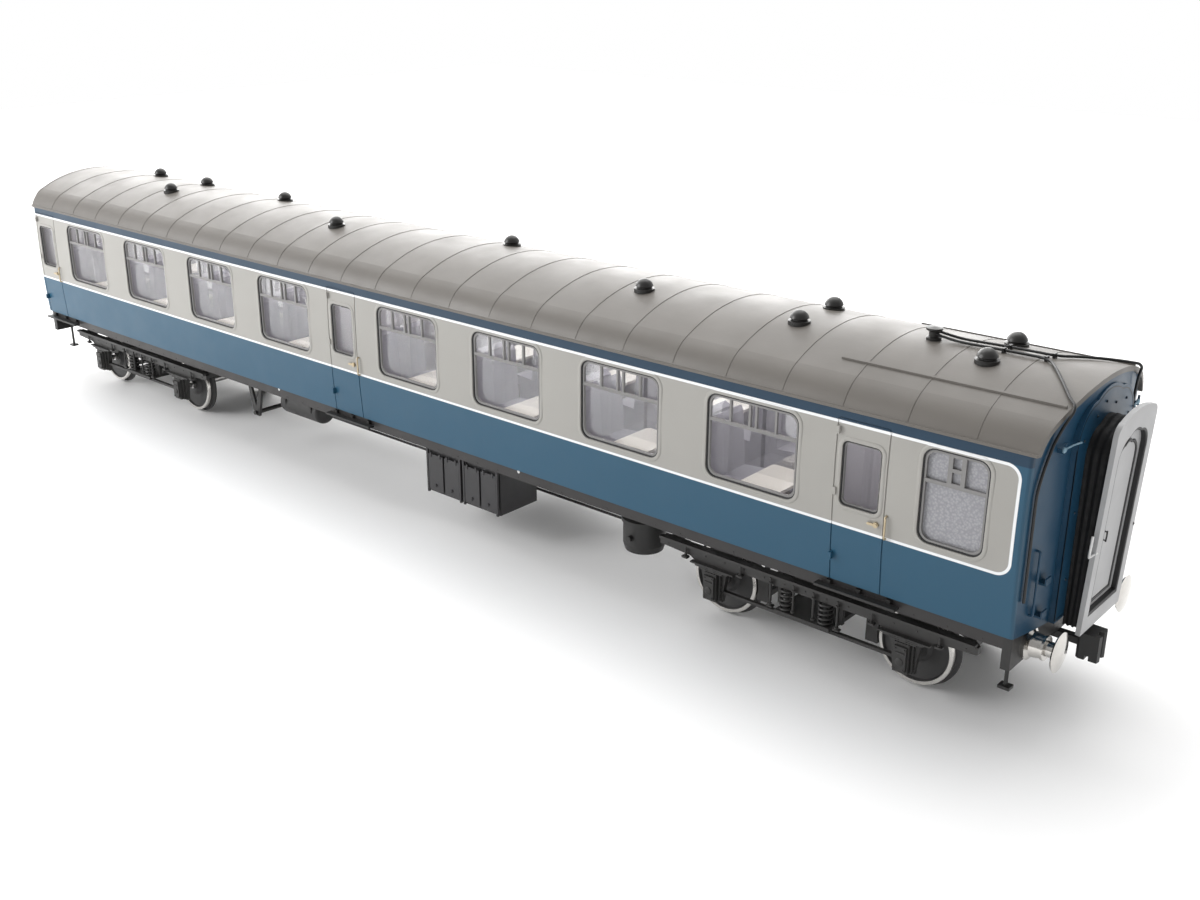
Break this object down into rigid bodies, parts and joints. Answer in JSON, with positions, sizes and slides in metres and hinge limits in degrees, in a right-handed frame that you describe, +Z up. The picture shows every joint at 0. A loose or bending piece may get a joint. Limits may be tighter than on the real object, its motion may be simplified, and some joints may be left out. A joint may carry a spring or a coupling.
{
  "type": "model passenger coach",
  "caption": "O gauge bogie passenger coach with glazed saloon, sprung gangway plates and buffers, swivelling bogies and turning wheelsets.",
  "frame": {"origin": "middle of the coach in plan, level with the lowest point of the wheel flanges; the rail top is 1.0 mm above it", "axes": "+X along the coach towards its lavatory end, +Y across the coach, +Z up"},
  "size_m": [0.4668, 0.065, 0.091],
  "materials": {
    "body_blue_grey": "satin two-colour paint, blue with a light grey window band",
    "roof_grey": "satin warm grey paint",
    "vent_black": "satin black",
    "pipe_black": "satin black wire",
    "frame_silver": "silver-grey paint",
    "clear_glazing": "clear moulded glazing",
    "frosted_glazing": "stippled frosted glazing",
    "brass": "bare etched brass",
    "interior_floor": "matt",
    "seat_cloth": "matt moulded seats",
    "table_cream": "matt",
    "interior_wall": "matt",
    "underframe_black": "satin black",
    "solebar_brown": "satin brown-black",
    "box_grey": "satin dark grey",
    "bogie_black": "satin black moulding",
    "bellows_black": "matt folded rubber",
    "gangway_grey": "satin light grey paint",
    "coupler_black": "satin black",
    "chrome": "polished",
    "bright_steel": "turned",
    "wheel_steel": "turned steel rim round a black centre"
  },
  "bodies": {
    "coach": {"body_shell": "body_blue_grey", "roof": "roof_grey", "rain_strips": "roof_grey", "roof_vents": "vent_black", "water_filler_cap": "vent_black", "roof_pipes": "pipe_black", "pipe_clips": "pipe_black", "window_frames": "frame_silver", "window_glazing": "clear_glazing", "frosted_glazing": "frosted_glazing", "door_hinges": "body_blue_grey", "door_handles": "brass", "grab_handles": "brass", "end_fittings": "body_blue_grey", "interior_floor": "interior_floor", "seats": "seat_cloth", "tables": "table_cream", "partitions": "interior_wall", "chassis_plate": "underframe_black", "solebars": "solebar_brown", "headstocks": "underframe_black", "coupler_pins": "bright_steel", "footboards": "underframe_black", "battery_boxes": "box_grey", "vacuum_cylinders": "underframe_black", "brake_rigging": "underframe_black", "reservoirs": "underframe_black", "corner_steps": "underframe_black", "buffer_housings": "chrome", "buffer_springs": "bright_steel", "bellows_front": "bellows_black", "bellows_rear": "bellows_black", "bogie_pivots": "bright_steel"},
    "bogie_front": {"bogie_frame_front": "bogie_black", "bogie_sideframes_front": "bogie_black", "bogie_springs_front": "bogie_black", "bogie_brakes_front": "bogie_black"},
    "wheelset_front_outer": {"wheels_front_outer": "wheel_steel", "axle_front_outer": "bright_steel"},
    "wheelset_front_inner": {"wheels_front_inner": "wheel_steel", "axle_front_inner": "bright_steel"},
    "gangway_front": {"faceplate_front": "gangway_grey", "gangway_door_front": "gangway_grey"},
    "coupling_front": {"coupler_front": "coupler_black"},
    "ram_front_left": {"buffer_front_left": "chrome"},
    "ram_front_right": {"buffer_front_right": "chrome"},
    "bogie_rear": {"bogie_frame_rear": "bogie_black", "bogie_sideframes_rear": "bogie_black", "bogie_springs_rear": "bogie_black", "bogie_brakes_rear": "bogie_black"},
    "wheelset_rear_outer": {"wheels_rear_outer": "wheel_steel", "axle_rear_outer": "bright_steel"},
    "wheelset_rear_inner": {"wheels_rear_inner": "wheel_steel", "axle_rear_inner": "bright_steel"},
    "gangway_rear": {"faceplate_rear": "gangway_grey", "gangway_door_rear": "gangway_grey"},
    "coupling_rear": {"coupler_rear": "coupler_black"},
    "ram_rear_left": {"buffer_rear_left": "chrome"},
    "ram_rear_right": {"buffer_rear_right": "chrome"}
  },
  "joints": [
    {"name": "bogie_front_swivel", "type": "hinge", "parent": "coach", "child": "bogie_front", "pos_m": [0.16275, 0, 0.02], "axis": [0, 0, 1], "range_deg": [-4, 4]},
    {"name": "wheelset_front_outer_spin", "type": "hinge", "parent": "bogie_front", "child": "wheelset_front_outer", "pos_m": [0.1925, 0, 0.0115], "axis": [0, 1, 0], "continuous": true},
    {"name": "wheelset_front_inner_spin", "type": "hinge", "parent": "bogie_front", "child": "wheelset_front_inner", "pos_m": [0.133, 0, 0.0115], "axis": [0, 1, 0], "continuous": true},
    {"name": "gangway_front_press", "type": "slide", "parent": "coach", "child": "gangway_front", "axis": [-1, 0, 0], "range_m": [0, 0.002], "stiffness_N_per_m": 60, "springref_m": -0.0005, "deforming": ["bellows_front"]},
    {"name": "coupler_front_swing", "type": "hinge", "parent": "coach", "child": "coupling_front", "pos_m": [0.2155, 0, 0.0188], "axis": [0, 0, 1], "range_deg": [-12, 12]},
    {"name": "buffer_front_left_press", "type": "slide", "parent": "coach", "child": "ram_front_left", "axis": [-1, 0, 0], "range_m": [0, 0.0018], "stiffness_N_per_m": 150, "springref_m": -0.0005, "deforming": ["buffer_springs"]},
    {"name": "buffer_front_right_press", "type": "slide", "parent": "coach", "child": "ram_front_right", "axis": [-1, 0, 0], "range_m": [0, 0.0018], "stiffness_N_per_m": 150, "springref_m": -0.0005, "deforming": ["buffer_springs"]},
    {"name": "bogie_rear_swivel", "type": "hinge", "parent": "coach", "child": "bogie_rear", "pos_m": [-0.16275, 0, 0.02], "axis": [0, 0, 1], "range_deg": [-4, 4]},
    {"name": "wheelset_rear_outer_spin", "type": "hinge", "parent": "bogie_rear", "child": "wheelset_rear_outer", "pos_m": [-0.1925, 0, 0.0115], "axis": [0, 1, 0], "continuous": true},
    {"name": "wheelset_rear_inner_spin", "type": "hinge", "parent": "bogie_rear", "child": "wheelset_rear_inner", "pos_m": [-0.133, 0, 0.0115], "axis": [0, 1, 0], "continuous": true},
    {"name": "gangway_rear_press", "type": "slide", "parent": "coach", "child": "gangway_rear", "axis": [1, 0, 0], "range_m": [0, 0.002], "stiffness_N_per_m": 60, "springref_m": -0.0005, "deforming": ["bellows_rear"]},
    {"name": "coupler_rear_swing", "type": "hinge", "parent": "coach", "child": "coupling_rear", "pos_m": [-0.2155, 0, 0.0188], "axis": [0, 0, 1], "range_deg": [-12, 12]},
    {"name": "buffer_rear_left_press", "type": "slide", "parent": "coach", "child": "ram_rear_left", "axis": [1, 0, 0], "range_m": [0, 0.0018], "stiffness_N_per_m": 150, "springref_m": -0.0005, "deforming": ["buffer_springs"]},
    {"name": "buffer_rear_right_press", "type": "slide", "parent": "coach", "child": "ram_rear_right", "axis": [1, 0, 0], "range_m": [0, 0.0018], "stiffness_N_per_m": 150, "springref_m": -0.0005, "deforming": ["buffer_springs"]}
  ]
}
